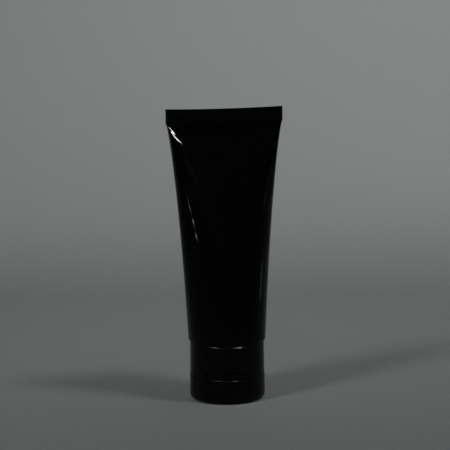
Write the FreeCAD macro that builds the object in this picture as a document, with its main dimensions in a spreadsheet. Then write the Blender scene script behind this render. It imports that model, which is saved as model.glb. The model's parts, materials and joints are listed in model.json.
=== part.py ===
"""Squeeze tube of shaving cream, standing on its flip-top cap.

Millimetres, +Z up. The origin is the centre of the lid's flat resting face, +X runs along
the tube's flat seal and -Y is the front. The cap is screwed on, so it stops at an angle
of its own, cap_yaw, about the tube's axis.
"""

import FreeCAD, Part
import os

import Sketcher

DIMENSIONS = {
    # sleeve: a thin round pipe, squashed flat and sealed at its tail
    "total_height": 131.0,
    "sleeve_radius": 17.5,
    "sleeve_wall": 0.5,
    "sleeve_start": 27.6,
    "sleeve_low": 26.2,
    "shoulder_round": 1.35,
    "shoulder_lip": 2.3,
    "seal_height": 6.5,
    "seal_thickness": 1.0,
    "flatten_power": 0.63,
    "wedge_power": 0.3,
    # head: shoulder and threaded neck
    "weld_gap": 0.03,
    "shoulder_thickness": 1.5,
    "shoulder_chamfer": 0.9,
    "shoulder_step": 0.1,
    "neck_radius": 7.8,
    "neck_bore": 6.0,
    "neck_tip": 13.35,
    "neck_orifice": 3.5,
    "neck_floor": 1.2,
    "neck_flare": 0.8,
    # thread
    "thread_pitch": 3.0,
    "thread_turns": 1.1,
    "thread_height": 1.2,
    "thread_root": 1.3,
    "thread_crest": 0.7,
    "thread_clearance": 0.3,
    "thread_start": 14.6,
    "thread_bite": 0.1,
    # cap body
    "cap_yaw": -25.0,
    "cap_height": 26.1,
    "cap_end_radius": 16.7,
    "cap_foot_radius": 16.8,
    "cap_wall": 1.2,
    "cap_thick_wall": 2.2,
    "cap_end_round": 0.35,
    "rim_round": 0.18,
    "parting_gap": 0.15,
    "deck_thickness": 1.4,
    "collar_wall": 1.2,
    "collar_height": 10.0,
    "rib_count": 6.0,
    "rib_thickness": 0.9,
    "rib_height": 4.0,
    "rib_bite": 0.1,
    "boss_radius": 11.4,
    "boss_wall": 1.0,
    "boss_height": 2.1,
    "boss_chamfer": 0.2,
    "bead": 0.12,
    "bead_half_height": 0.3,
    "nozzle_height": 3.55,
    "nozzle_tip_radius": 3.3,
    "nozzle_root_radius": 4.3,
    "nozzle_bore": 2.2,
    "nozzle_flare": 0.8,
    "tip_round": 0.3,
    # thumb notch at the front of the cap body
    "notch_angle": 64.0,
    "notch_depth": 1.2,
    "notch_height": 3.6,
    "notch_slope": 1.1,
    # lid
    "lid_height": 11.0,
    "lid_radius": 17.0,
    "lid_draft": 0.05,
    "lid_wall": 1.35,
    "lid_floor": 1.5,
    "lid_round": 2.4,
    "gate_radius": 1.6,
    "gate_depth": 0.3,
    "lid_ring_bore": 11.9,
    "lid_ring_wall": 0.9,
    "lid_ring_draft": 0.1,
    "lid_ring_drop": 0.15,
    "pin_root_radius": 2.6,
    "pin_neck_radius": 2.1,
    "pin_tip_radius": 1.85,
    "pin_neck_drop": 0.1,
    "pin_reach": 1.3,
    # living hinge at the back of the cap
    "hinge_width": 8.0,
    "hinge_face": 17.0,
    "hinge_axis": 17.2,
    "hinge_gap": 0.005,
    "hinge_pad_depth": 1.0,
    "hinge_pad_height": 3.4,
    "hinge_pad_slope": 0.6,
    "base_pad_lift": 0.35,
    "lid_pad_drop": 0.2,
    "web_inner": 2.1,
    "web_width": 1.6,
    "web_height": 2.2,
    "strap_width": 2.6,
    "strap_height": 6.0,
    # sealing washer
    "liner_thickness": 0.7,
    "liner_bore": 3.6,
    "liner_radius": 9.1,
    "liner_gap": 0.05,
    # filling
    "cream_gap": 0.06,
    "cream_top": 104.0,
    "cream_overlap": 1.0,
}

# heights of the sleeve's ovals, as shares of the way from the shoulder to the seal
OUTER_SHARES = (0.0, 0.12, 0.28, 0.46, 0.64, 0.78, 0.88, 0.95, 0.985, 1.0)
CAVITY_SHARES = OUTER_SHARES[:-1] + (0.998,)

# expressions that more than one sub-part uses
SHOULDER_LOW = "(sleeve_low + sleeve_wall + weld_gap)"
SHOULDER_TOP = "(sleeve_low + sleeve_wall + weld_gap + shoulder_thickness)"
SHOULDER_RADIUS = "(sleeve_radius - sleeve_wall - weld_gap)"
COLLAR_BORE = "(neck_radius + thread_height + thread_clearance)"
PARTING = "(lid_height + parting_gap)"
DECK_TOP = "(lid_height + parting_gap + deck_thickness)"
THICK_BORE = "(cap_foot_radius - cap_thick_wall)"
HINGE_MIDDLE = "(lid_height + parting_gap / 2)"

document = FreeCAD.newDocument("shaving_cream_tube")
sheet = document.addObject("Spreadsheet::Sheet", "Dims")
nodes = []


def fill_sheet():
    """Each driving dimension gets a row: its name, and its value in an aliased cell."""
    for row, (name, value) in enumerate(DIMENSIONS.items(), start=1):
        sheet.set(f"A{row}", name)
        sheet.set(f"B{row}", str(value))
        sheet.setAlias(f"B{row}", name)
    document.recompute()


def bound(expression):
    """The expression with every dimension's name pointing at its cell."""
    words = []
    word = ""
    for letter in expression + " ":
        if letter.isalnum() or letter == "_":
            word += letter
            continue
        words.append(f"Dims.{word}" if word in DIMENSIONS else word)
        words.append(letter)
        word = ""
    return "".join(words).strip()


def value_of(expression):
    """The expression's present value in millimetres or degrees."""
    return float(sheet.evalExpression(bound(expression)))


def new_body(name):
    """One sub-part: its Label names its file."""
    body = document.addObject("PartDesign::Body", name)
    body.Label = name
    nodes.append(body)
    return body


def origin_item(body, role):
    """One of the body's own origin planes or axes."""
    return next(item for item in body.Origin.OriginFeatures if item.Role == role)


def pin_coordinate(sketch, kind, index, expression):
    """Binds one coordinate of a line's start point to an expression."""
    along_axis = -2 if kind == "DistanceX" else -1
    value = value_of(expression)
    if abs(value) < 1e-9:
        sketch.addConstraint(Sketcher.Constraint("PointOnObject", index, 1, along_axis))
        return
    if value > 0:
        number = sketch.addConstraint(Sketcher.Constraint(kind, -1, 1, index, 1, value))
        sketch.setExpression(f"Constraints[{number}]", bound(expression))
        return
    number = sketch.addConstraint(Sketcher.Constraint(kind, index, 1, -1, 1, -value))
    sketch.setExpression(f"Constraints[{number}]", bound(f"-({expression})"))


def outline(body, name, role, points):
    """A closed outline of straight lines whose corners are bound to the sheet."""
    sketch = body.newObject("Sketcher::SketchObject", name)
    sketch.AttachmentSupport = [(origin_item(body, role), "")]
    sketch.MapMode = "FlatFace"
    corners = [FreeCAD.Vector(value_of(across), value_of(up), 0) for across, up in points]
    for index, corner in enumerate(corners):
        following = corners[(index + 1) % len(corners)]
        sketch.addGeometry(Part.LineSegment(corner, following), False)
    for index in range(len(corners)):
        following = (index + 1) % len(corners)
        sketch.addConstraint(Sketcher.Constraint("Coincident", index, 2, following, 1))
    for index, (across, up) in enumerate(points):
        pin_coordinate(sketch, "DistanceX", index, across)
        pin_coordinate(sketch, "DistanceY", index, up)
    return sketch


def turned(body, name, points):
    """A solid turned about the body's Z axis from an outline of radius and height."""
    sketch = outline(body, f"{name}_outline", "XZ_Plane", points)
    feature = body.newObject("PartDesign::Revolution", name)
    feature.Profile = sketch
    feature.ReferenceAxis = (sketch, ["V_Axis"])
    feature.Angle = 360
    document.recompute()
    return feature


def helical_ridge(body, name, root_radius, crest_radius, start_height):
    """A right-handed thread ridge with sloping flanks, from an outline in the XZ plane."""
    points = [
        (root_radius, f"{start_height} - thread_root / 2"),
        (crest_radius, f"{start_height} - thread_crest / 2"),
        (crest_radius, f"{start_height} + thread_crest / 2"),
        (root_radius, f"{start_height} + thread_root / 2"),
    ]
    sketch = outline(body, f"{name}_outline", "XZ_Plane", points)
    ridge = body.newObject("PartDesign::AdditiveHelix", name)
    ridge.Profile = sketch
    ridge.ReferenceAxis = (sketch, ["V_Axis"])
    ridge.Mode = "pitch-turns-angle"
    ridge.LeftHanded = False
    ridge.setExpression("Pitch", bound("thread_pitch"))
    ridge.setExpression("Turns", bound("thread_turns"))
    document.recompute()
    return ridge


def ring_edges(feature, radius, height):
    """Names of the feature's circular edges of one radius at one height."""
    found = []
    for index, edge in enumerate(feature.Shape.Edges, start=1):
        curve = edge.Curve
        if not isinstance(curve, Part.Circle):
            continue
        if abs(curve.Radius - radius) < 1e-4 and abs(curve.Center.z - height) < 1e-4:
            found.append(f"Edge{index}")
    return found


def rounded(body, name, radius_name, rings):
    """Rounds the ring edges given as pairs of radius and height expressions."""
    base = body.Tip
    edges = []
    for ring_radius, ring_height in rings:
        edges += ring_edges(base, value_of(ring_radius), value_of(ring_height))
    fillet = body.newObject("PartDesign::Fillet", name)
    fillet.Base = (base, edges)
    fillet.setExpression("Radius", bound(radius_name))
    document.recompute()
    return fillet


def padded_out(body, name, sketch, width):
    """A pad of the sketch, half of its width on each side of the sketch's plane."""
    pad = body.newObject("PartDesign::Pad", name)
    pad.Profile = sketch
    pad.Midplane = True
    pad.setExpression("Length", bound(width))
    document.recompute()
    return pad


def turn_with_cap(body):
    """Places a cap piece at the cap's own angle about the tube's axis."""
    turn = FreeCAD.Rotation(FreeCAD.Vector(0, 0, 1), value_of("cap_yaw"))
    body.Placement = FreeCAD.Placement(FreeCAD.Vector(0, 0, 0), turn)
    body.setExpression("Placement.Rotation.Angle", bound("cap_yaw * 1 deg"))


def sleeve_section(name, share, inset):
    """One oval of the sleeve, at a share of the way from the shoulder to the seal.

    A pipe keeps its girth while it is squashed, so the oval grows from the sleeve's
    radius to a quarter of its girth while its thickness falls to that of the seal. Low
    down it is a plain oval, and towards the seal its two faces close in like a wedge.
    """
    widening = f"(1 - pow(1 - {share}; flatten_power))"
    narrowing = f"pow(1 - {share}; flatten_power / 2 + wedge_power * {share} * {share})"
    half_width = f"sleeve_radius * (1 + (pi / 2 - 1) * {widening}) - {inset}"
    thinnest = f"(max(seal_thickness / 2 - {inset}; 0) + weld_gap)"
    half_depth = f"max(sleeve_radius * {narrowing} - {inset}; {thinnest})"
    height = f"sleeve_start + {share} * (total_height - seal_height - sleeve_start)"
    oval = document.addObject("Part::Ellipse", name)
    oval.setExpression("MajorRadius", bound(half_width))
    oval.setExpression("MinorRadius", bound(half_depth))
    oval.setExpression("Placement.Base.z", bound(height))
    return oval


def sleeve_loft(name, inset, shares):
    """The tapering solid between the shoulder and the seal, inset from the outer skin."""
    loft = document.addObject("Part::Loft", name)
    sections = []
    for number, share in enumerate(shares):
        sections.append(sleeve_section(f"{name}_oval_{number}", share, inset))
    loft.Sections = sections
    loft.Solid = True
    loft.Ruled = False
    return loft


def block(name, length, width, low, high):
    """A box centred on the tube's axis, between two heights."""
    box = document.addObject("Part::Box", name)
    box.setExpression("Length", bound(length))
    box.setExpression("Width", bound(width))
    box.setExpression("Height", bound(f"{high} - ({low})"))
    box.setExpression("Placement.Base.x", bound(f"-({length}) / 2"))
    box.setExpression("Placement.Base.y", bound(f"-({width}) / 2"))
    box.setExpression("Placement.Base.z", bound(low))
    return box


def joined(kind, name, base, tool):
    """A boolean of two shapes: Part::Cut, Part::Fuse or Part::Common."""
    feature = document.addObject(kind, name)
    feature.Base = base
    feature.Tool = tool
    feature.Refine = False
    return feature


def make_sleeve():
    """The plastic pipe: a rolled-in shoulder edge, a tapering hollow and a flat seal."""
    lip = document.addObject("PartDesign::Body", "sleeve_lip")
    lip_bore = "sleeve_radius - shoulder_lip"
    turned(lip, "lip_ring", [
        (lip_bore, "sleeve_low"),
        ("sleeve_radius", "sleeve_low"),
        ("sleeve_radius", "sleeve_start"),
        ("sleeve_radius - sleeve_wall", "sleeve_start"),
        ("sleeve_radius - sleeve_wall", "sleeve_low + sleeve_wall"),
        (lip_bore, "sleeve_low + sleeve_wall"),
    ])
    rounded(lip, "lip_round", "shoulder_round", [("sleeve_radius", "sleeve_low")])

    outer_skin = sleeve_loft("outer_skin", "0", OUTER_SHARES)
    cavity = sleeve_loft("cavity", "sleeve_wall", CAVITY_SHARES)
    wall = joined("Part::Cut", "sleeve_tube", outer_skin, cavity)
    with_lip = joined("Part::Fuse", "sleeve_with_lip", wall, lip)
    seal = block("seal_strip", "pi * sleeve_radius", "seal_thickness",
                 "total_height - seal_height", "total_height")
    sleeve = joined("Part::Fuse", "tube_sleeve", with_lip, seal)
    sleeve.Label = "tube_sleeve"
    nodes.append(sleeve)


def make_head():
    """Shoulder plate welded into the sleeve, with the threaded neck below it."""
    body = new_body("tube_head")
    lip_bore = "sleeve_radius - shoulder_lip - weld_gap"
    turned(body, "head_profile", [
        ("neck_orifice", "neck_tip"),
        ("neck_radius", "neck_tip"),
        ("neck_radius", "sleeve_low + shoulder_step"),
        (lip_bore, "sleeve_low + shoulder_step"),
        (lip_bore, SHOULDER_LOW),
        (SHOULDER_RADIUS, SHOULDER_LOW),
        (SHOULDER_RADIUS, "sleeve_start"),
        (f"{SHOULDER_RADIUS} - shoulder_chamfer", SHOULDER_TOP),
        ("neck_bore + neck_flare", SHOULDER_TOP),
        ("neck_bore", f"{SHOULDER_TOP} - neck_flare"),
        ("neck_bore", "neck_tip + neck_floor"),
        ("neck_orifice", "neck_tip + neck_floor"),
    ])
    rounded(body, "neck_tip_round", "tip_round", [("neck_radius", "neck_tip")])
    root = "neck_radius - thread_bite"
    crest = "neck_radius + thread_height"
    helical_ridge(body, "neck_thread", root, crest, "thread_start")


def make_cap_base():
    """Skirt, deck with nozzle and snap boss, and the threaded collar that grips the neck."""
    body = new_body("cap_base")
    nozzle_tip = f"{PARTING} - nozzle_height"
    boss_tip = f"{PARTING} - boss_height"
    skirt_bore = "(cap_end_radius - cap_wall)"
    thick_top = f"({DECK_TOP} + notch_height)"
    collar_outer = f"{COLLAR_BORE} + collar_wall"
    collar_top = f"{DECK_TOP} + collar_height"
    turned(body, "cap_profile", [
        ("nozzle_bore", nozzle_tip),
        ("nozzle_tip_radius", nozzle_tip),
        ("nozzle_root_radius", PARTING),
        ("boss_radius - boss_wall", PARTING),
        ("boss_radius - boss_wall", boss_tip),
        ("boss_radius - boss_chamfer", boss_tip),
        ("boss_radius", f"{boss_tip} + bead_half_height"),
        ("boss_radius + bead", f"{boss_tip} + 2 * bead_half_height"),
        ("boss_radius", f"{boss_tip} + 3 * bead_half_height"),
        ("boss_radius", PARTING),
        ("cap_foot_radius", PARTING),
        ("cap_end_radius", "cap_height"),
        (skirt_bore, "cap_height"),
        (skirt_bore, f"{thick_top} + cap_wall"),
        (THICK_BORE, thick_top),
        (THICK_BORE, DECK_TOP),
        (collar_outer, DECK_TOP),
        (collar_outer, collar_top),
        (COLLAR_BORE, collar_top),
        (COLLAR_BORE, DECK_TOP),
        ("nozzle_bore + nozzle_flare", DECK_TOP),
        ("nozzle_bore", f"{DECK_TOP} - nozzle_flare"),
    ])
    rounded(body, "cap_end_edge", "cap_end_round", [("cap_end_radius", "cap_height")])
    rounded(body, "cap_rim_edge", "rim_round", [("cap_foot_radius", PARTING)])
    rounded(body, "nozzle_edge", "tip_round", [("nozzle_tip_radius", nozzle_tip)])
    root = f"{COLLAR_BORE} + thread_bite"
    crest = "neck_radius + thread_clearance"
    start = "(thread_start + thread_pitch / 2 + thread_pitch * cap_yaw / 360)"
    helical_ridge(body, "collar_thread", root, crest, start)
    add_collar_ribs(body)
    cut_thumb_notch(body)
    pad_bottom = f"{PARTING} + base_pad_lift"
    pad_top = f"{pad_bottom} + hinge_pad_height"
    add_hinge_pad(body, "base_hinge_pad", pad_bottom, pad_top, f"{pad_top} + hinge_pad_slope")
    turn_with_cap(body)


def add_collar_ribs(body):
    """Radial ribs that stiffen the deck between the collar and the skirt."""
    inner = f"{COLLAR_BORE} + collar_wall - rib_bite"
    outer = f"{THICK_BORE} + rib_bite"
    sketch = outline(body, "rib_outline", "XZ_Plane", [
        (inner, f"{DECK_TOP} - rib_bite"),
        (outer, f"{DECK_TOP} - rib_bite"),
        (outer, f"{DECK_TOP} + rib_height / 2"),
        (inner, f"{DECK_TOP} + rib_height"),
    ])
    rib = padded_out(body, "rib", sketch, "rib_thickness")
    pattern = body.newObject("PartDesign::PolarPattern", "ribs")
    pattern.Originals = [rib]
    pattern.Axis = (origin_item(body, "Z_Axis"), [""])
    pattern.Angle = 360
    pattern.setExpression("Occurrences", bound("rib_count"))
    body.Tip = pattern
    document.recompute()


def cut_thumb_notch(body):
    """A scoop at the front of the skirt that leaves the lid's rim as a ledge for a thumb."""
    before = body.Tip.Shape.Volume
    floor_radius = "cap_foot_radius - notch_depth"
    beyond = "cap_foot_radius + notch_depth"
    below = f"{PARTING} - notch_depth"
    top = f"{PARTING} + notch_height"
    sketch = outline(body, "notch_outline", "YZ_Plane", [
        (f"-({floor_radius})", below),
        (f"-({floor_radius})", f"{top} - notch_slope"),
        ("-cap_foot_radius", top),
        (f"-({beyond})", top),
        (f"-({beyond})", below),
    ])
    notch = body.newObject("PartDesign::Groove", "thumb_notch")
    notch.Profile = sketch
    notch.ReferenceAxis = (sketch, ["V_Axis"])
    notch.Midplane = True
    notch.setExpression("Angle", bound("notch_angle"))
    document.recompute()
    if notch.Shape.Volume >= before:
        raise RuntimeError("the thumb notch cut nothing")


def add_hinge_pad(body, name, low, high, inner_high):
    """A flat land on the round wall at the back, which carries the living hinge."""
    sketch = outline(body, f"{name}_outline", "YZ_Plane", [
        ("hinge_face - hinge_pad_depth", low),
        ("hinge_face", low),
        ("hinge_face", high),
        ("hinge_face - hinge_pad_depth", inner_high),
    ])
    padded_out(body, name, sketch, "hinge_width")


def make_lid():
    """Flip lid: outer cup with a moulding-gate dimple, snap ring and sealing pin."""
    body = new_body("flip_lid")
    nozzle_tip = f"{PARTING} - nozzle_height"
    wall_bore = "lid_radius - lid_wall"
    ring_top = "lid_height - lid_ring_drop"
    ring_outer = "lid_ring_bore + lid_ring_wall"
    turned(body, "lid_profile", [
        ("0", "gate_depth"),
        ("gate_radius", "gate_depth"),
        ("gate_radius", "0"),
        ("lid_radius", "0"),
        ("lid_radius - lid_draft", "lid_height"),
        (wall_bore, "lid_height"),
        (wall_bore, "lid_floor"),
        (ring_outer, "lid_floor"),
        (f"{ring_outer} - lid_ring_draft", ring_top),
        ("lid_ring_bore", ring_top),
        ("lid_ring_bore - bead", f"{ring_top} - bead_half_height"),
        ("lid_ring_bore", f"{ring_top} - 2 * bead_half_height"),
        ("lid_ring_bore", "lid_floor"),
        ("pin_root_radius", "lid_floor"),
        ("pin_neck_radius", f"{nozzle_tip} - pin_neck_drop"),
        ("pin_tip_radius", f"{nozzle_tip} + pin_reach"),
        ("0", f"{nozzle_tip} + pin_reach"),
    ])
    rounded(body, "lid_corner", "lid_round", [("lid_radius", "0")])
    rounded(body, "lid_rim_edge", "rim_round", [("lid_radius - lid_draft", "lid_height")])
    pad_top = "lid_height - lid_pad_drop"
    pad_bottom = f"{pad_top} - hinge_pad_height"
    add_hinge_pad(body, "lid_hinge_pad", pad_bottom, pad_top, pad_top)
    turn_with_cap(body)


def make_hinge_strip(name, middle, width, height):
    """One thin strip of the living hinge, flat on both hinge pads across the parting line."""
    body = new_body(name)
    inner = "hinge_face + hinge_gap"
    outer = "hinge_axis - hinge_gap"
    sketch = outline(body, f"{name}_outline", "YZ_Plane", [
        (inner, f"{HINGE_MIDDLE} - {height} / 2"),
        (outer, f"{HINGE_MIDDLE} - {height} / 2"),
        (outer, f"{HINGE_MIDDLE} + {height} / 2"),
        (inner, f"{HINGE_MIDDLE} + {height} / 2"),
    ])
    padded_out(body, f"{name}_strip", sketch, width)
    turn_with_cap(body)
    body.setExpression("Placement.Base.x", bound(f"({middle}) * cos(cap_yaw * 1 deg)"))
    body.setExpression("Placement.Base.y", bound(f"({middle}) * sin(cap_yaw * 1 deg)"))


def make_hinge():
    """Two webs that the lid turns on, and between them the strap that makes it snap open."""
    web_middle = "(web_inner + web_width / 2)"
    make_hinge_strip("hinge_web_left", f"-{web_middle}", "web_width", "web_height")
    make_hinge_strip("hinge_web_right", web_middle, "web_width", "web_height")
    make_hinge_strip("hinge_spring_strap", "0", "strap_width", "strap_height")


def make_liner():
    """Soft washer between the neck's tip and the underside of the deck."""
    body = new_body("liner_ring")
    low = f"{DECK_TOP} + liner_gap"
    turned(body, "washer", [
        ("liner_bore", low),
        ("liner_radius", low),
        ("liner_radius", f"{low} + liner_thickness"),
        ("liner_bore", f"{low} + liner_thickness"),
    ])


def make_cream():
    """The cream: it fills the neck and the sleeve up to an air space below the seal."""
    plug = document.addObject("PartDesign::Body", "cream_plug")
    plug_radius = f"({SHOULDER_RADIUS} - shoulder_chamfer)"
    plug_top = f"{SHOULDER_TOP} + 2 * cream_overlap"
    turned(plug, "plug_profile", [
        ("0", "neck_tip + cream_gap"),
        ("neck_orifice - cream_gap", "neck_tip + cream_gap"),
        ("neck_orifice - cream_gap", "neck_tip + neck_floor + cream_gap"),
        ("neck_bore - cream_gap", "neck_tip + neck_floor + cream_gap"),
        ("neck_bore - cream_gap", f"{SHOULDER_TOP} + cream_gap"),
        (plug_radius, f"{SHOULDER_TOP} + cream_gap"),
        (plug_radius, plug_top),
        ("0", plug_top),
    ])
    whole = sleeve_loft("whole_filling", "(sleeve_wall + cream_gap)", CAVITY_SHARES)
    room = block("room_below_air", "4 * sleeve_radius", "4 * sleeve_radius",
                 f"{SHOULDER_TOP} + cream_overlap", "cream_top")
    filling = joined("Part::Common", "filling", whole, room)
    cream = joined("Part::Fuse", "cream_fill", plug, filling)
    cream.Label = "cream_fill"
    nodes.append(cream)


def check_model():
    """Stops on any failed feature or invalid sub-part before a file is written."""
    for item in document.Objects:
        states = set(item.State)
        if states & {"Invalid", "Error"}:
            raise RuntimeError(f"{item.Label} failed: {sorted(states)}")
    for node in nodes:
        if node.Shape.isNull() or not node.Shape.isValid():
            raise RuntimeError(f"{node.Label} has no valid shape")


def write_parts():
    os.makedirs("parts", exist_ok=True)
    for node in nodes:
        node.Shape.exportStep(os.path.join("parts", f"{node.Label}.step"))
        box = node.Shape.BoundBox
        spans = f"{box.XLength:7.2f} x {box.YLength:6.2f} x {box.ZLength:6.2f}"
        heights = f"z {box.ZMin:7.2f} to {box.ZMax:7.2f}"
        print(f"{node.Label:20s} {spans}  {heights}  {node.Shape.Volume:9.1f} mm3"
              f"  solids {len(node.Shape.Solids)}")


fill_sheet()
make_sleeve()
make_head()
make_cap_base()
make_lid()
make_hinge()
make_liner()
make_cream()
document.recompute()
check_model()
write_parts()
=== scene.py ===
import json
import math

import bpy
import numpy as np
from mathutils import Matrix, Vector


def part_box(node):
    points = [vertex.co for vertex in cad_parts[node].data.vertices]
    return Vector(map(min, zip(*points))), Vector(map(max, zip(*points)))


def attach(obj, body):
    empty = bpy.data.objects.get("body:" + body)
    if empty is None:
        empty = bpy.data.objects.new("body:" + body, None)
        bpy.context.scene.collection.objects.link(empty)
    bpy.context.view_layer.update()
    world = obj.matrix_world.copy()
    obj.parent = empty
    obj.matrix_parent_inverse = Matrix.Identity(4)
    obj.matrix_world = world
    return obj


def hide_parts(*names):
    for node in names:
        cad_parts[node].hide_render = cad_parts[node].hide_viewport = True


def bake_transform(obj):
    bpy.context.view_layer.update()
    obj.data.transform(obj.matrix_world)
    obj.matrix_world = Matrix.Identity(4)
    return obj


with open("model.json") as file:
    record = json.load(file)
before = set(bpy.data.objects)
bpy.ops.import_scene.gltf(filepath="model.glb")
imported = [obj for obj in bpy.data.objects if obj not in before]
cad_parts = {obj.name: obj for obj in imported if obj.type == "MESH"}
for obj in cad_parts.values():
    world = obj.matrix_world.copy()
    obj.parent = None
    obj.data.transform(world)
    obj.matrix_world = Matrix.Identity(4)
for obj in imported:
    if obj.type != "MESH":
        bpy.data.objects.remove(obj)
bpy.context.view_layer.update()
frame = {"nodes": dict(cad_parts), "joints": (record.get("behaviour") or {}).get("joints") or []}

MM = 0.001

# ---------------------------------------------------------------- sizes from the CAD frame
SLEEVE_LOW, SLEEVE_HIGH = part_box("tube_sleeve")
RADIUS = SLEEVE_HIGH.y
TOP = SLEEVE_HIGH.z
SHOULDER = SLEEVE_LOW.z
SEAL_HALF_LENGTH = SLEEVE_HIGH.x

# the sleeve's own sizes, as the CAD part has them
WALL = 0.5 * MM
SEAL_HEIGHT = 6.5 * MM
SEAL_HALF_THICKNESS = 0.5 * MM
LIP_ROUND = 1.35 * MM
LIP_WIDTH = 2.3 * MM
TAPER_START = SHOULDER + 1.4 * MM
FLATTEN_POWER = 0.63
WEDGE_POWER = 0.3
SEAL_START = TOP - SEAL_HEIGHT

# ---------------------------------------------------------------- sleeve mesh
EDGE_ZONE = 8 * MM          # near the side edges the mesh is finer, for the corner creases
EDGE_COLUMNS = 36
FACE_COLUMNS = 40
CREASE_ZONE = 20 * MM       # below the seal the rows are closer together
SEAL_SAG = 0.45 * MM        # the middle of the tail's cut edge lies lower than its ends
SEAL_BOW = 0.35 * MM        # the flat tail waves to and fro by this much
SEAL_SQUARENESS = 9         # the flat tail's section is nearly a rectangle
SEAL_PRESSED = 0.86         # the tail's thickness, as a share of the fold that it ends in
PRESSED_BY = 0.075          # the share of the seal's height over which it thins

# the waves of the thin wall
WAVE_HEIGHT = 0.09 * MM
WAVE_LENGTHS = (22 * MM, 60 * MM)
RIPPLE_HEIGHT = 0.012 * MM
RIPPLE_LENGTHS = (7 * MM, 15 * MM)
BACK_STRETCH = 3.1          # the back has other waves than the front

# the fold at each corner of the seal
SWELL = 0.35 * MM
SWELL_REACH = 0.4           # as a share of the fold's length
SWELL_WIDTH = 2.2 * MM
GROOVE = 0.08 * MM
GROOVE_PLACE = -0.5 * MM
GROOVE_WIDTH = 0.35 * MM
CREASES = {
    # (right or left, front or back): angle off the upright in degrees, length in mm, strength
    (-1, -1): (41, 12.3, 1.0),
    (1, -1): (35, 11.0, 0.75),
    (-1, 1): (34, 11.5, 0.8),
    (1, 1): (39, 13.0, 0.95),
}


def section_curve(half_width, half_depth, power, count=1500):
    """A quarter of a rounded section, from the middle of the face to the side edge."""
    turn = np.linspace(0, math.pi / 2, count)
    reach = (np.sin(turn) ** power + np.cos(turn) ** power) ** (-1 / power)
    return half_width * np.sin(turn) * reach, half_depth * np.cos(turn) * reach


def along_curve(x, y):
    """Distance along a curve at each of its points."""
    steps = np.hypot(np.diff(x), np.diff(y))
    return np.concatenate([[0], np.cumsum(steps)])


def quarter_section(half_width, half_depth, shares):
    """Points of the quarter section at shares of its length.

    The section's squareness is the one that keeps the pipe's girth while it is squashed.
    """
    girth = math.pi / 2 * RADIUS
    low, high = 1.5, 9.0
    for _ in range(30):
        power = (low + high) / 2
        x, y = section_curve(half_width, half_depth, power, 400)
        if along_curve(x, y)[-1] > girth:
            high = power
        else:
            low = power
    x, y = section_curve(half_width, half_depth, power)
    run = along_curve(x, y)
    return np.interp(shares * run[-1], run, x), np.interp(shares * run[-1], run, y)


def half_sizes(share):
    """Half width and half depth of the squashed pipe, from the shoulder (0) to the seal (1)."""
    left = 1 - share
    half_width = RADIUS + (SEAL_HALF_LENGTH - RADIUS) * (1 - left ** FLATTEN_POWER)
    half_depth = RADIUS * left ** (FLATTEN_POWER / 2 + WEDGE_POWER * share ** 2)
    return half_width, (half_depth ** 4 + SEAL_HALF_THICKNESS ** 4) ** 0.25


def column_shares():
    """Shares of a quarter of the girth at which the mesh has columns."""
    edge = EDGE_ZONE / (math.pi / 2 * RADIUS)
    face_part = np.linspace(0, 1 - edge, FACE_COLUMNS, endpoint=False)
    return np.concatenate([face_part, np.linspace(1 - edge, 1, EDGE_COLUMNS + 1)])


def full_ring(quarter_x, quarter_y):
    """All four quarters: middle of the front, right edge, middle of the back, left edge."""
    x = np.concatenate([quarter_x[:-1], quarter_x[:0:-1]])
    y = np.concatenate([-quarter_y[:-1], quarter_y[:0:-1]])
    return np.concatenate([x, -x]), np.concatenate([y, -y])


def body_heights():
    """Heights of the rows between the shoulder and the seal."""
    fine_start = SEAL_START - CREASE_ZONE
    coarse = np.linspace(TAPER_START, fine_start, 84, endpoint=False)
    return np.concatenate([coarse, np.linspace(fine_start, SEAL_START, 76, endpoint=False)])


def sleeve_rows(inset, heights, shares):
    """Rings of the squashed pipe at the heights, inset from its outer skin."""
    rows = []
    for height in heights:
        share = min((height - TAPER_START) / (SEAL_START - TAPER_START), 1)
        half_width, half_depth = half_sizes(share)
        x, y = quarter_section(half_width, half_depth, shares)
        keep = 1 - inset / half_width, max(1 - inset / half_depth, 0.1)
        ring_x, ring_y = full_ring(x * keep[0], y * keep[1])
        rows.append(np.stack([ring_x, ring_y, np.full_like(ring_x, height)], 1))
    return rows


def round_rows(profile, shares):
    """Circular rings from a profile of radius and height."""
    turn = shares * math.pi / 2
    rows = []
    for radius, height in profile:
        ring_x, ring_y = full_ring(radius * np.sin(turn), radius * np.cos(turn))
        rows.append(np.stack([ring_x, ring_y, np.full_like(ring_x, height)], 1))
    return rows


def lip_profile():
    """The rolled-in lower lip, from its inner edge out and up to the start of the taper."""
    bore = RADIUS - LIP_WIDTH
    ring = RADIUS - LIP_ROUND
    points = [(RADIUS - WALL, SHOULDER + WALL), (bore + 0.1 * MM, SHOULDER + WALL)]
    points += [(bore, SHOULDER + WALL - 0.1 * MM), (bore, SHOULDER + 0.15 * MM)]
    points += [(bore + 0.15 * MM, SHOULDER), (ring - 0.2 * MM, SHOULDER)]
    for turn in np.linspace(0, math.pi / 2, 12):
        points.append((ring + LIP_ROUND * math.sin(turn),
                       SHOULDER + LIP_ROUND * (1 - math.cos(turn))))
    return points


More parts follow.
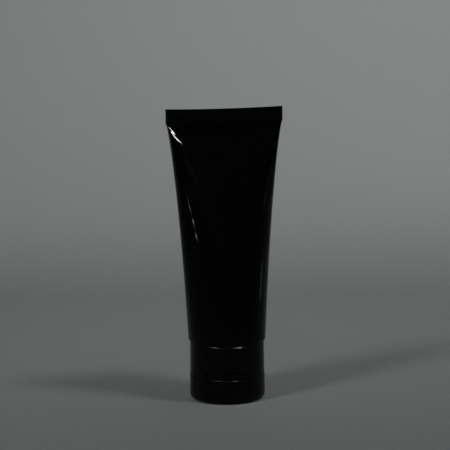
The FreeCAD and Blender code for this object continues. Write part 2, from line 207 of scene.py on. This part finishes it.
def seal_rows(shares):
    """Rings of the flat tail: pressed a little thinner than the fold that it ends in."""
    rows = []
    parts = np.concatenate([[0, 0.02, 0.045, PRESSED_BY], np.linspace(0.11, 0.97, 20), [0.992, 1]])
    for part in parts:
        height = SEAL_START + part * SEAL_HEIGHT
        thin = SEAL_HALF_THICKNESS * (1 + (SEAL_PRESSED - 1) * min(part / PRESSED_BY, 1))
        end_round = 0.12 * MM if part == 1 else 0
        x, y = section_curve(SEAL_HALF_LENGTH - end_round, thin - end_round, SEAL_SQUARENESS)
        run = along_curve(x, y)
        ring_x, ring_y = full_ring(np.interp(shares * run[-1], run, x),
                                   np.interp(shares * run[-1], run, y))
        rows.append(np.stack([ring_x, ring_y, np.full_like(ring_x, height)], 1))
    return rows


def outward(grid):
    """Unit normals of a grid of rings, rows going up."""
    around = np.roll(grid, -1, 1) - np.roll(grid, 1, 1)
    up = np.gradient(grid, axis=0)
    normal = np.cross(around, up)
    return normal / np.linalg.norm(normal, axis=2, keepdims=True)


def smooth_step(value, start, end):
    """0 before start, 1 past end, and a smooth rise between."""
    part = np.clip((value - start) / (end - start), 0, 1)
    return part * part * (3 - 2 * part)


def corner_crease(from_edge, below, angle, length, strength):
    """A fold that runs from a corner of the seal down and in across the face.

    from_edge and below are distances on the flattened sleeve. The fold ends in a low swell,
    and a narrow groove runs along its outer side.
    """
    along = from_edge * math.sin(angle) + below * math.cos(angle)
    across = from_edge * math.cos(angle) - below * math.sin(angle)
    swell = np.exp(-((along - length) / (SWELL_REACH * length)) ** 2 - (across / SWELL_WIDTH) ** 2)
    fade = smooth_step(along, 0, 1.5 * MM) * (1 - smooth_step(along, 0.25 * length, 0.7 * length))
    groove = np.exp(-((across - GROOVE_PLACE) / GROOVE_WIDTH) ** 2)
    return strength * (SWELL * swell - GROOVE * fade * groove)


def wave_field(x, z, seed, count, lengths):
    """A smooth random surface made of a few sine waves, about -1 to 1."""
    random = np.random.default_rng(seed)
    total = np.zeros_like(x)
    for _ in range(count):
        turn = random.uniform(0, 2 * math.pi)
        number = 2 * math.pi / random.uniform(*lengths)
        phase = random.uniform(0, 2 * math.pi)
        total += np.sin(number * (x * math.cos(turn) + z * math.sin(turn)) + phase)
    return total / math.sqrt(count)


def all_creases(grid, from_edge, below):
    """How far the folds at the four corners of the seal push the skin out."""
    push = np.zeros(grid.shape[:2])
    for (side, face), (angle, length, strength) in CREASES.items():
        here = (np.sign(grid[:, :, 0]) == side) & (np.sign(grid[:, :, 1]) == face) & (below > 0)
        crease = corner_crease(from_edge, below, math.radians(angle), length * MM, strength)
        push += np.where(here, crease, 0)
    return push


def wall_waves(grid, from_edge):
    """How far the shallow waves of the thin wall push the skin; there are none at its ends."""
    height = grid[:, :, 2]
    thin_wall = smooth_step(height, TAPER_START + 4 * MM, SEAL_START - 25 * MM)
    calm_seal = 1 - smooth_step(height, SEAL_START - 3 * MM, SEAL_START)
    flat_x = np.where(grid[:, :, 1] < 0, 1, BACK_STRETCH) * grid[:, :, 0]
    waves = wave_field(flat_x, height, 5, 7, WAVE_LENGTHS)
    ripples = wave_field(flat_x, height, 11, 9, RIPPLE_LENGTHS)
    face_part = smooth_step(from_edge, 2 * MM, 9 * MM)
    return face_part * thin_wall * calm_seal * (WAVE_HEIGHT * waves + RIPPLE_HEIGHT * ripples)


def crumpled(grid, shares):
    """The outer grid with its creases at the seal's corners, and the waves of a thin wall."""
    quarter_girth = math.pi / 2 * RADIUS
    from_front = shares * quarter_girth
    quarter = np.concatenate([from_front[:-1], from_front[:0:-1]])
    from_edge = quarter_girth - np.concatenate([quarter, quarter])[None, :]
    push = all_creases(grid, from_edge, SEAL_START - grid[:, :, 2])
    push += wall_waves(grid, from_edge)
    grid = grid + outward(grid) * push[:, :, None]

    across = grid[:, :, 0] / SEAL_HALF_LENGTH
    in_tail = smooth_step(grid[:, :, 2], SEAL_START - 14 * MM, SEAL_START + 2 * MM)
    grid[:, :, 1] += in_tail * SEAL_BOW * np.sin(math.pi * (across * 1.1 + 0.35))
    part = np.clip((grid[:, :, 2] - SEAL_START) / SEAL_HEIGHT, 0, 1)
    grid[:, :, 2] -= SEAL_SAG * part * (1 - across ** 2)
    return grid


def ring_faces(rows, count):
    """The four-cornered faces between rings of count points each."""
    faces = []
    for low in range(0, (rows - 1) * count, count):
        for column in range(count):
            after = (column + 1) % count
            faces.append((low + column, low + after, low + count + after, low + count + column))
    return faces


def smooth_mesh(name, points, faces):
    """A smooth-shaded mesh."""
    mesh = bpy.data.meshes.new(name)
    mesh.from_pydata([tuple(point) for point in points], [], faces)
    mesh.validate()
    mesh.shade_smooth()
    return mesh


def slit_faces(start, count):
    """The faces that close a flat ring, from its near side across to its far side."""
    faces = []
    half = count // 2
    for column in range(-(count // 4), count // 4):
        near, near_after = column % count, (column + 1) % count
        far, far_after = (half - column) % count, (half - column - 1) % count
        corners = dict.fromkeys((near, near_after, far_after, far))
        faces.append(tuple(start + corner for corner in corners))
    return faces


def sleeve_mesh(rows):
    """A closed mesh of the sleeve's rings, from the inside's top down and up the outside."""
    count = len(rows[0])
    last = (len(rows) - 1) * count
    faces = ring_faces(len(rows), count)
    faces += [tuple(reversed(face)) for face in slit_faces(0, count)]
    faces += slit_faces(last, count)
    return smooth_mesh("sleeve_skin", np.concatenate(rows), faces)


def add_piece(name, mesh, material, stands_for):
    """Puts a mesh in the scene as the piece that is shown in a CAD node's place."""
    piece = bpy.data.objects.new(name, mesh)
    bpy.context.scene.collection.objects.link(piece)
    mesh.materials.append(material)
    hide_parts(stands_for)
    return piece


def make_sleeve(material):
    """The sleeve: its inside, its rolled lip, the squashed pipe and the flat tail."""
    shares = column_shares()
    inner = sleeve_rows(WALL, np.linspace(TAPER_START, SEAL_START - 0.6 * MM, 26), shares)
    lip = round_rows(lip_profile(), shares)
    outer = np.stack(sleeve_rows(0, body_heights(), shares) + seal_rows(shares))
    mesh = sleeve_mesh(inner[::-1] + lip + list(crumpled(outer, shares)))
    mesh.set_sharp_from_angle(angle=math.radians(35))
    piece = add_piece("sleeve_skin", mesh, material, "tube_sleeve")
    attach(piece, "tube")
    return piece


# ---------------------------------------------------------------- materials
def add_node(tree, kind, **inputs):
    """A shader node with some of its inputs set to constants."""
    made = tree.nodes.new(kind)
    for name, value in inputs.items():
        made.inputs[name.replace("_", " ")].default_value = value
    return made


def new_material(name):
    """A node material with its Principled shader, its tree and its object coordinates."""
    material = bpy.data.materials.new(name)
    material.use_nodes = True
    tree = material.node_tree
    shader = tree.nodes["Principled BSDF"]
    place = tree.nodes.new("ShaderNodeTexCoord").outputs["Object"]
    return material, tree, shader, place


def noise(tree, place, scale, detail=2.0, roughness=0.5):
    """Noise with scale cells per metre."""
    made = add_node(tree, "ShaderNodeTexNoise", Scale=scale, Detail=detail, Roughness=roughness)
    tree.links.new(place, made.inputs["Vector"])
    return made.outputs["Fac"]


def remapped(tree, value, from_low, from_high, to_low, to_high):
    """A value's range moved to another range, and held inside it."""
    made = tree.nodes.new("ShaderNodeMapRange")
    limits = (from_low, from_high, to_low, to_high)
    for name, limit in zip(("From Min", "From Max", "To Min", "To Max"), limits):
        made.inputs[name].default_value = limit
    tree.links.new(value, made.inputs["Value"])
    return made.outputs["Result"]


def combined(tree, operation, first, second):
    """A Math node of two values; either may be a plain number."""
    made = tree.nodes.new("ShaderNodeMath")
    made.operation = operation
    for socket, value in zip(made.inputs, (first, second)):
        if isinstance(value, (int, float)):
            socket.default_value = value
        else:
            tree.links.new(value, socket)
    return made.outputs["Value"]


def stretched(tree, place, scale, turn=(0, 0, 0)):
    """Coordinates scaled and turned, for marks that run one way."""
    made = tree.nodes.new("ShaderNodeMapping")
    made.inputs["Scale"].default_value = scale
    made.inputs["Rotation"].default_value = turn
    tree.links.new(place, made.inputs["Vector"])
    return made.outputs["Vector"]


def color_mix(tree, share, first, second):
    """A colour between two constant colours."""
    made = tree.nodes.new("ShaderNodeMix")
    made.data_type = "RGBA"
    colors = [socket for socket in made.inputs if socket.type == "RGBA"]
    colors[0].default_value = (*first, 1)
    colors[1].default_value = (*second, 1)
    tree.links.new(share, made.inputs["Factor"])
    return next(socket for socket in made.outputs if socket.type == "RGBA")


def speck_grid(tree, place, spacing, share_with_speck, size):
    """1 in sparse round specks, 0 elsewhere: one speck in some cells of a grid."""
    cells = add_node(tree, "ShaderNodeTexVoronoi", Scale=1 / spacing)
    tree.links.new(place, cells.inputs["Vector"])
    near = remapped(tree, cells.outputs["Distance"], size, size * 0.5, 0, 1)
    split = tree.nodes.new("ShaderNodeSeparateColor")
    tree.links.new(cells.outputs["Color"], split.inputs["Color"])
    chosen = remapped(tree, split.outputs["Red"], 1 - share_with_speck, 1.01 - share_with_speck, 0, 1)
    return combined(tree, "MULTIPLY", near, chosen)


def scratches(tree, place, turn, fineness):
    """1 in thin, sparse lines that run one way, 0 elsewhere."""
    lines = noise(tree, stretched(tree, place, (fineness, fineness, 0.05 * fineness), turn), 1)
    return remapped(tree, lines, 0.68, 0.74, 0, 1)


def add_bump(tree, shader, height, strength, distance):
    """Feeds a height into the shader's normal."""
    made = add_node(tree, "ShaderNodeBump", Strength=strength, Distance=distance)
    tree.links.new(height, made.inputs["Height"])
    tree.links.new(made.outputs["Normal"], shader.inputs["Normal"])


def sleeve_plastic():
    """Black gloss tube plastic: faint orange peel, haze, dust specks, and more specks at the tail
    that are partly dust and partly painted glints.
    """
    material, tree, shader, place = new_material("sleeve_gloss_black")
    shader.inputs["Specular IOR Level"].default_value = 0.08
    split = tree.nodes.new("ShaderNodeSeparateXYZ")
    tree.links.new(place, split.inputs["Vector"])
    # at the tail the lighter specks are partly dust and partly painted glints: grey spots that stand
    # in for highlights on the seal
    at_tail = remapped(tree, split.outputs["Z"], SEAL_START - 4 * MM, SEAL_START, 0, 1)
    tail_dust_and_painted_glints = combined(tree, "MULTIPLY", speck_grid(tree, place, 1.3 * MM, 0.3, 0.15), at_tail)
    specks = combined(tree, "MAXIMUM", speck_grid(tree, place, 2.6 * MM, 0.3, 0.08), tail_dust_and_painted_glints)
    # the speck colour: grey dust over the whole sleeve, and painted glints as well at the tail
    color = color_mix(tree, specks, (0.0028, 0.003, 0.0036), (0.1, 0.1, 0.1))
    tree.links.new(color, shader.inputs["Base Color"])

    haze = remapped(tree, noise(tree, place, 90, 4), 0.35, 0.7, 0.04, 0.07)
    marks = scratches(tree, place, (0.3, 0.2, 0.1), 900)
    rough = combined(tree, "ADD", haze, combined(tree, "MULTIPLY", marks, 0.12))
    rough = combined(tree, "ADD", rough, combined(tree, "MULTIPLY", specks, 0.5))
    in_seal = remapped(tree, split.outputs["Z"], SEAL_START, SEAL_START + 0.4 * MM, 0, 1)
    rough = combined(tree, "ADD", rough, combined(tree, "MULTIPLY", in_seal, 0.16))
    tree.links.new(rough, shader.inputs["Roughness"])
    add_bump(tree, shader, noise(tree, place, 700, 2), 0.35, 0.01 * MM)
    return material


def cap_plastic():
    """Black satin polypropylene: fine spark texture, rubbed patches and a few scuffs."""
    material, tree, shader, place = new_material("cap_satin_black")
    shader.inputs["Specular IOR Level"].default_value = 0.09
    specks = speck_grid(tree, place, 1.9 * MM, 0.3, 0.08)
    color = color_mix(tree, specks, (0.0028, 0.003, 0.003), (0.09, 0.09, 0.087))
    tree.links.new(color, shader.inputs["Base Color"])
    patches = remapped(tree, noise(tree, place, 140, 4, 0.6), 0.35, 0.7, 0.17, 0.26)
    marks = scratches(tree, place, (0.2, 1.2, 0.4), 1100)
    rough = combined(tree, "ADD", patches, combined(tree, "MULTIPLY", marks, 0.18))
    tree.links.new(rough, shader.inputs["Roughness"])
    grain = noise(tree, place, 4200, 2, 0.6)
    add_bump(tree, shader, grain, 0.35, 0.012 * MM)
    return material


def head_plastic():
    """Black polyethylene of the head: duller, with the flow marks of moulding."""
    material, tree, shader, place = new_material("head_black")
    flow = noise(tree, stretched(tree, place, (1, 1, 0.15)), 260, 3)
    color = color_mix(tree, flow, (0.012, 0.012, 0.0125), (0.02, 0.02, 0.0205))
    tree.links.new(color, shader.inputs["Base Color"])
    tree.links.new(remapped(tree, flow, 0.3, 0.7, 0.36, 0.5), shader.inputs["Roughness"])
    add_bump(tree, shader, noise(tree, place, 2500, 2), 0.2, 0.01 * MM)
    return material


def liner_foam():
    """White foamed washer with fine open pores, whose pits are painted darker as shade."""
    material, tree, shader, place = new_material("liner_foam_white")
    shader.inputs["Roughness"].default_value = 0.75
    pores = add_node(tree, "ShaderNodeTexVoronoi", Scale=4000.0)
    tree.links.new(place, pores.inputs["Vector"])
    # the pits of the pores are painted darker: painted shade in the recesses
    color = color_mix(tree, pores.outputs["Distance"], (0.62, 0.62, 0.6), (0.85, 0.85, 0.82))
    tree.links.new(color, shader.inputs["Base Color"])
    add_bump(tree, shader, pores.outputs["Distance"], 0.5, 0.05 * MM)
    return material


def cream_matter():
    """White cream: soft, slightly moist, with light shining a little way into it."""
    material, tree, shader, place = new_material("cream_white")
    shader.inputs["Subsurface Weight"].default_value = 0.4
    shader.inputs["Subsurface Radius"].default_value = (0.004, 0.003, 0.002)
    swirl = noise(tree, place, 160, 5)
    # the swirl's hollows are painted darker and its crests lighter: painted shade on the cream's
    # relief
    color = color_mix(tree, swirl, (0.84, 0.84, 0.8), (0.93, 0.93, 0.91))
    tree.links.new(color, shader.inputs["Base Color"])
    tree.links.new(remapped(tree, swirl, 0.3, 0.7, 0.32, 0.5), shader.inputs["Roughness"])
    add_bump(tree, shader, swirl, 0.4, 0.4 * MM)
    return material


def dress(node_name, material):
    """Gives a CAD node that is shown as it is its material and slot."""
    node = frame["nodes"][node_name]
    node.data.materials.clear()
    node.data.materials.append(material)


# ---------------------------------------------------------------- hinge
HINGE = next(joint for joint in frame["joints"] if joint["name"] == "lid_hinge")
HINGE_POINT = Vector(HINGE["pos_m"])
HINGE_AXIS = Vector(HINGE["axis"]).normalized()
HINGE_OUT = HINGE_AXIS.cross(Vector((0, 0, 1))) * -1
STRIP_ROWS = 48
STRIP_COLUMNS = 9
WAIST = 0.1                 # a strip is narrower by this share where it bends
WAIST_REACH = 0.5 * MM


def strip_limits(node_name):
    """A strip's lowest and highest corner in the hinge's frame: along, outward and up."""
    points = [vertex.co for vertex in frame["nodes"][node_name].data.vertices]
    local = [(point.dot(HINGE_AXIS), point.dot(HINGE_OUT), point.z) for point in points]
    return np.min(local, 0), np.max(local, 0)


def strip_ring(low, high, height):
    """One level ring round a strip."""
    waist = 1 - WAIST * math.exp(-((height - HINGE_POINT.z) / WAIST_REACH) ** 2)
    middle = (low[0] + high[0]) / 2
    half = (high[0] - low[0]) / 2 * waist
    mid_depth = (low[1] + high[1]) / 2
    ring = [(share, low[1]) for share in np.linspace(-1, 1, STRIP_COLUMNS)]
    ring.append((1, mid_depth))
    ring += [(share, high[1]) for share in np.linspace(1, -1, STRIP_COLUMNS)]
    ring.append((-1, mid_depth))
    points = []
    for share, depth in ring:
        point = HINGE_AXIS * (middle + share * half) + HINGE_OUT * depth
        points.append((point.x, point.y, height))
    return points


def strip_mesh(name, rows):
    """A closed mesh of level rings with flat ends."""
    count = len(rows[0])
    last = (len(rows) - 1) * count
    faces = ring_faces(len(rows), count)
    faces.append(tuple(reversed(range(count))))
    faces.append(tuple(range(last, last + count)))
    mesh = bpy.data.meshes.new(name)
    mesh.from_pydata([point for row in rows for point in row], [], faces)
    mesh.validate()
    return mesh


def make_hinge_strip(node_name, material):
    """A hinge strip as a fine mesh of many level rings, with a waist at the hinge's height."""
    low, high = strip_limits(node_name)
    rows = [strip_ring(low, high, height) for height in np.linspace(low[2], high[2], STRIP_ROWS)]
    name = node_name + "_strip"
    piece = add_piece(name, strip_mesh(name, rows), material, node_name)
    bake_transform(piece)


# ---------------------------------------------------------------- studio
VIEW_TURN = math.radians(19.9)      # the camera stands this far round to the left
CAMERA_DISTANCE = 658 * MM
CAMERA_HEIGHT = 167 * MM
CAMERA_PITCH = math.radians(7.66)
CAMERA_ROLL = math.radians(0.62)
CAMERA_SIDE = -0.31 * MM
FOCAL_LENGTH = 118.7
SENSOR = 36.0

LEVEL_RIGHT = Vector((math.cos(VIEW_TURN), -math.sin(VIEW_TURN), 0))
LEVEL_AWAY = Vector((math.sin(VIEW_TURN), math.cos(VIEW_TURN), 0))
UP = Vector((0, 0, 1))

FLAT_FLOOR_REACH = 0.6
COVE_START = 0.75
COVE_BEND = 1.15
WALL_HEIGHT = 2.6
COVE_ROWS = 32
ROOM_COLUMNS = 144
ROOM_SQUARENESS = 8
GLINT_SPREAD = 60           # degrees, as are the next two
KEY_SPREAD = 45
WASH_SPREAD = 180
TEAL = (0.75, 1, 1)
BLUE = (0.5, 0.65, 1)


def make_camera():
    """A long lens in front of the tube, a little to its left and above it, slightly rolled."""
    camera_data = bpy.data.cameras.new("photo_view")
    camera_data.lens = FOCAL_LENGTH
    camera_data.sensor_width = SENSOR
    camera = bpy.data.objects.new("photo_view", camera_data)
    bpy.context.scene.collection.objects.link(camera)
    forward = LEVEL_AWAY * math.cos(CAMERA_PITCH) - UP * math.sin(CAMERA_PITCH)
    up = LEVEL_AWAY * math.sin(CAMERA_PITCH) + UP * math.cos(CAMERA_PITCH)
    right_rolled = LEVEL_RIGHT * math.cos(CAMERA_ROLL) - up * math.sin(CAMERA_ROLL)
    up_rolled = LEVEL_RIGHT * math.sin(CAMERA_ROLL) + up * math.cos(CAMERA_ROLL)
    axes = Matrix((right_rolled, up_rolled, -forward)).transposed()
    camera.location = (LEVEL_RIGHT * CAMERA_SIDE - LEVEL_AWAY * CAMERA_DISTANCE
                       + UP * CAMERA_HEIGHT)
    camera.rotation_mode = "QUATERNION"
    camera.rotation_quaternion = axes.to_quaternion()
    bpy.context.scene.camera = camera


def studio_place(right, away, up):
    """A point given in metres to the camera's right, away from it, and up."""
    return LEVEL_RIGHT * right + LEVEL_AWAY * away + UP * up


def aimed_place(azimuth, elevation, distance, centre):
    """A point seen from centre at an azimuth (0 is away from the camera, 90 to its right)."""
    turn, rise = math.radians(azimuth), math.radians(elevation)
    level = distance * math.cos(rise)
    return centre + studio_place(level * math.sin(turn), level * math.cos(turn),
                                 distance * math.sin(rise))


def add_softbox(name, place, aim, size, power, spread):
    """A rectangular soft light at a place, aimed at a point."""
    light = bpy.data.lights.new(name, "AREA")
    light.shape = "RECTANGLE"
    light.size, light.size_y = size
    light.energy = power
    light.spread = math.radians(spread)
    lamp = bpy.data.objects.new(name, light)
    bpy.context.scene.collection.objects.link(lamp)
    lamp.location = place
    lamp.rotation_mode = "QUATERNION"
    lamp.rotation_quaternion = (aim - place).to_track_quat("-Z", "Y")
    lamp.visible_camera = False
    return lamp


def backdrop_profile():
    """Reach and height of the studio's floor, its cove and its wall, from the middle out."""
    profile = [(FLAT_FLOOR_REACH / 2, 0), (FLAT_FLOOR_REACH, 0)]
    for turn in np.linspace(0, math.pi / 2, COVE_ROWS):
        profile.append((COVE_START + COVE_BEND * math.sin(turn),
                        COVE_BEND * (1 - math.cos(turn))))
    profile.append((COVE_START + COVE_BEND, WALL_HEIGHT))
    return profile


def backdrop_mesh():
    """A square room with rounded corners, in rings from the middle of the floor to the wall."""
    turns = np.linspace(0, 2 * math.pi, ROOM_COLUMNS, endpoint=False)
    away, right = np.cos(turns), np.sin(turns)
    size = np.abs(away) ** ROOM_SQUARENESS + np.abs(right) ** ROOM_SQUARENESS
    stretch = size ** (-1 / ROOM_SQUARENESS)
    profile = backdrop_profile()
    points = []
    for reach, height in profile:
        for right_share, away_share in zip(right * stretch, away * stretch):
            points.append(studio_place(reach * right_share, reach * away_share, height))
    faces = [tuple(reversed(range(ROOM_COLUMNS)))] + ring_faces(len(profile), ROOM_COLUMNS)
    return smooth_mesh("studio_floor", points, faces)


def make_floor():
    """A pale floor that curves up into a plain wall all round, wide enough to walk in."""
    floor = bpy.data.objects.new("studio_floor", backdrop_mesh())
    bpy.context.scene.collection.objects.link(floor)
    material, tree, shader, place = new_material("studio_paper")
    shader.inputs["Roughness"].default_value = 0.9
    shader.inputs["Specular IOR Level"].default_value = 0.0
    grain = noise(tree, place, 900, 3)
    color = color_mix(tree, grain, (0.60, 0.63, 0.62), (0.64, 0.67, 0.66))
    tree.links.new(color, shader.inputs["Base Color"])
    floor.data.materials.append(material)


def lit_group(name, piece):
    """A collection of the one piece that some highlight lights are flagged to."""
    group = bpy.data.collections.new(name)
    group.objects.link(piece)
    return group


def add_glint(name, group, place, aim, size, power, tint=(1, 1, 1)):
    """A light that only the gloss of one group of pieces shows, as a highlight."""
    lamp = add_softbox(name, place, aim, size, power, GLINT_SPREAD)
    lamp.data.color = tint
    lamp.visible_diffuse = False
    lamp.light_linking.receiver_collection = group


def make_sleeve_glints(sleeve):
    """The highlights on the sleeve: at the seal's corner and down its two sides."""
    group = lit_group("glint_sleeve", sleeve)
    corner = Vector((-SEAL_HALF_LENGTH, 0, SEAL_START))
    left = studio_place(-0.0165, -0.006, 0.082)
    low_right = studio_place(0.015, -0.008, 0.053)
    high_right = studio_place(0.0215, -0.003, 0.11)
    add_glint("window", group, aimed_place(178, 17, 1.3, corner), corner, (0.14, 0.3), 2.8)
    add_glint("streak_left", group, aimed_place(-139, -7.8, 0.5, left), left,
              (0.026, 0.004), 0.0013)
    add_glint("streak_right", group, aimed_place(72, -8, 0.3, low_right), low_right,
              (0.045, 0.024), 0.00016, TEAL)
    add_glint("band_right", group, aimed_place(90, -2, 0.6, high_right), high_right,
              (0.06, 0.04), 0.0004, BLUE)


def make_cap_glints():
    """The highlights on the cap body's rim, under the sleeve, and on the notch's ledge."""
    rim = Vector((0, 0, SHOULDER))
    notch = Vector((-HINGE_POINT.x, -HINGE_POINT.y, HINGE_POINT.z))
    body_group = lit_group("glint_cap", frame["nodes"]["cap_base"])
    lid_group = lit_group("glint_lid", frame["nodes"]["flip_lid"])
    for name, group, aim, azimuth, elevation, power in (
            ("rim_left", body_group, rim, -137, 35, 3.4),
            ("rim_right", body_group, rim, 130, 35, 4.6),
            ("ledge_left", lid_group, notch, -137, 60, 4.6),
            ("ledge_right", lid_group, notch, 126, 60, 1.0)):
        add_glint(name, group, aimed_place(azimuth, elevation, 1.2, aim), aim, (0.2, 0.2), power)


def make_room_lights():
    """Two key lights on the floor round the tube, and three washes on the walls."""
    tube_foot = Vector((0, 0, 0.03))
    pool = studio_place(0, 0.1, 0.03)
    lamps = []
    for name, azimuth, elevation, distance, power in (
            ("key_left", -132, 42, 1.4, 0.11),
            ("key_right", 117, 58, 1.3, 0.09)):
        place = aimed_place(azimuth, elevation, distance, tube_foot)
        lamps.append(add_softbox(name, place, pool, (0.24, 0.24), power, KEY_SPREAD))
    for name, place, heading, power in (
            ("low_wash", studio_place(0.2, 0.25, 1.0), LEVEL_AWAY, 5.6),
            ("high_wash", studio_place(0.7, 0.2, 1.4), LEVEL_AWAY - UP * 0.2, 5),
            ("near_wash", studio_place(0, -0.9, 1.5), -LEVEL_AWAY - UP * 0.3, 1.2)):
        lamps.append(add_softbox(name, place, place + heading, (1.6, 0.3), power, WASH_SPREAD))
    for lamp in lamps:
        lamp.visible_glossy = False


def make_world():
    """Dim air round the room, and plain tones with no film look."""
    world = bpy.data.worlds.new("studio_dim")
    world.use_nodes = True
    world.node_tree.nodes["Background"].inputs["Color"].default_value = (0.004, 0.0042, 0.0045, 1)
    bpy.context.scene.world = world
    bpy.context.scene.view_settings.view_transform = "Standard"


sleeve_material = sleeve_plastic()
cap_material = cap_plastic()
sleeve_piece = make_sleeve(sleeve_material)
for strip in ("hinge_web_left", "hinge_web_right", "hinge_spring_strap"):
    make_hinge_strip(strip, cap_material)
dress("cap_base", cap_material)
dress("flip_lid", cap_material)
dress("tube_head", head_plastic())
dress("liner_ring", liner_foam())
dress("cream_fill", cream_matter())
make_floor()
make_room_lights()
make_sleeve_glints(sleeve_piece)
make_cap_glints()
make_world()
make_camera()
bpy.context.view_layer.update()
